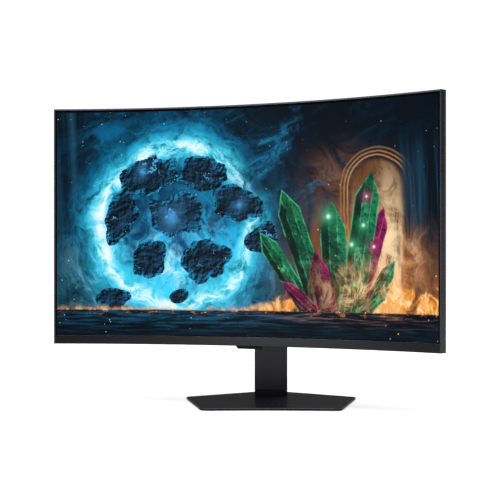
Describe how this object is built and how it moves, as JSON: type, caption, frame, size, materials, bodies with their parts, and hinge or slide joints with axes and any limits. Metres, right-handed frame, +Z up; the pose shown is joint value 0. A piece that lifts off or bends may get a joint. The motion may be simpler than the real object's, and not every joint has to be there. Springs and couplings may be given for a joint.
{
  "type": "computer monitor",
  "caption": "Curved widescreen desktop monitor on a height-adjustable column with a flat angular base; the display tilts and swivels on the column.",
  "frame": {"origin": "on the swivel axis at desk level, at the middle rubber foot", "axes": "+Z up, the stand faces -Y, +X to the right seen from the front; the display is swivelled 20.4 degrees about -Z at rest"},
  "size_m": [0.6577, 0.3759, 0.5151],
  "materials": {
    "steel_black": "satin powder coat",
    "plain_steel": "zinc plated",
    "spring_steel": "bright strip",
    "column_plastic": "fine texture",
    "collar_plastic": "satin",
    "rubber_grey": "matte",
    "slider_plastic": "self-lubricating",
    "washer_brass": "plain",
    "frame_plastic": "fine satin",
    "chin_plastic": "satin, dark grey",
    "screen_glass": "anti-glare",
    "film_white": "diffusing film",
    "clear_acrylic": "clear",
    "inner_plastic": "black",
    "pan_aluminium": "plain sheet",
    "cover_plastic": "textured black",
    "board_green": "solder mask",
    "component_black": "moulded",
    "cable_jacket": "flat cable",
    "socket_steel": "plated shell",
    "button_plastic": "matte"
  },
  "bodies": {
    "stand": {"base_plate": "steel_black", "rubber_feet": "rubber_grey", "base_screws": "plain_steel", "column_foot": "plain_steel", "column_collar": "collar_plastic", "column_channel": "steel_black", "column_front_cover": "column_plastic", "column_rear_cover": "column_plastic", "column_top_cap": "column_plastic", "guide_rails": "plain_steel", "lift_spring_strip": "spring_steel", "spring_anchor": "plain_steel"},
    "lift": {"lift_carriage": "steel_black", "glide_pads": "slider_plastic", "carriage_arm": "steel_black", "swivel_bush": "slider_plastic", "arm_screws": "plain_steel", "spring_axle": "plain_steel"},
    "spring_drum": {"lift_spring_coil": "spring_steel"},
    "swivel_head": {"swivel_yoke": "steel_black", "swivel_pin": "plain_steel", "swivel_nut": "plain_steel", "swivel_washers": "washer_brass"},
    "display": {"tilt_bracket": "steel_black", "bracket_screws": "plain_steel", "tilt_pin": "plain_steel", "tilt_nut": "plain_steel", "tilt_washers": "washer_brass", "middle_frame": "frame_plastic", "chin_trim": "chin_plastic", "lcd_glass": "screen_glass", "optical_sheets": "film_white", "light_guide": "clear_acrylic", "reflector_sheet": "film_white", "led_bar": "board_green", "back_pan": "pan_aluminium", "panel_frame": "inner_plastic", "rear_cover": "cover_plastic", "chassis_bracket": "plain_steel", "cover_posts": "plain_steel", "rear_cover_screws": "plain_steel", "main_board": "board_green", "power_board": "board_green", "timing_board": "board_green", "heat_sink": "pan_aluminium", "scaler_chip": "component_black", "backlight_inductors": "component_black", "video_sockets": "socket_steel", "audio_socket": "component_black", "power_inlet": "component_black", "chin_tab": "chin_plastic", "jog_frame": "inner_plastic", "jog_board": "board_green", "jog_switch": "component_black", "board_lead": "cable_jacket", "panel_ribbon_cable": "cable_jacket"},
    "jog_outer": {"jog_outer_gimbal": "inner_plastic"},
    "jog_inner": {"jog_inner_gimbal": "inner_plastic"},
    "jog_button": {"jog_cap": "button_plastic"}
  },
  "joints": [
    {"name": "height_slide", "type": "slide", "parent": "stand", "child": "lift", "axis": [0, 0, 1], "range_m": [-0.02, 0.1], "deforming": ["lift_spring_strip"]},
    {"name": "spring_drum_spin", "type": "hinge", "parent": "lift", "child": "spring_drum", "pos_m": [0, 0.046, 0.2623], "axis": [1, 0, 0], "range_deg": [-516, 104]},
    {"name": "head_swivel", "type": "hinge", "parent": "lift", "child": "swivel_head", "pos_m": [0, 0, 0.3083], "axis": [0, 0, 1], "range_deg": [-9.6, 50.4]},
    {"name": "tilt", "type": "hinge", "parent": "swivel_head", "child": "display", "pos_m": [-0.00941, -0.02531, 0.3083], "axis": [-0.9373, 0.3486, 0], "range_deg": [-5, 20]},
    {"name": "jog_left_right", "type": "hinge", "parent": "display", "child": "jog_outer", "pos_m": [-0.03067, -0.08248, 0.1075], "axis": [0.3486, 0.9373, 0], "range_deg": [-4, 4], "stiffness_Nm_per_rad": 0.05},
    {"name": "jog_front_back", "type": "hinge", "parent": "jog_outer", "child": "jog_inner", "pos_m": [-0.03067, -0.08248, 0.1075], "axis": [0.9373, -0.3486, 0], "range_deg": [-4, 4], "stiffness_Nm_per_rad": 0.05},
    {"name": "jog_press", "type": "slide", "parent": "jog_inner", "child": "jog_button", "axis": [0, 0, 1], "range_m": [0, 0.0008], "stiffness_N_per_m": 700, "springref_m": -0.001}
  ],
  "couplings": [
    {"joint": "spring_drum_spin", "follows": "height_slide", "rad_per_m": -89.286}
  ]
}
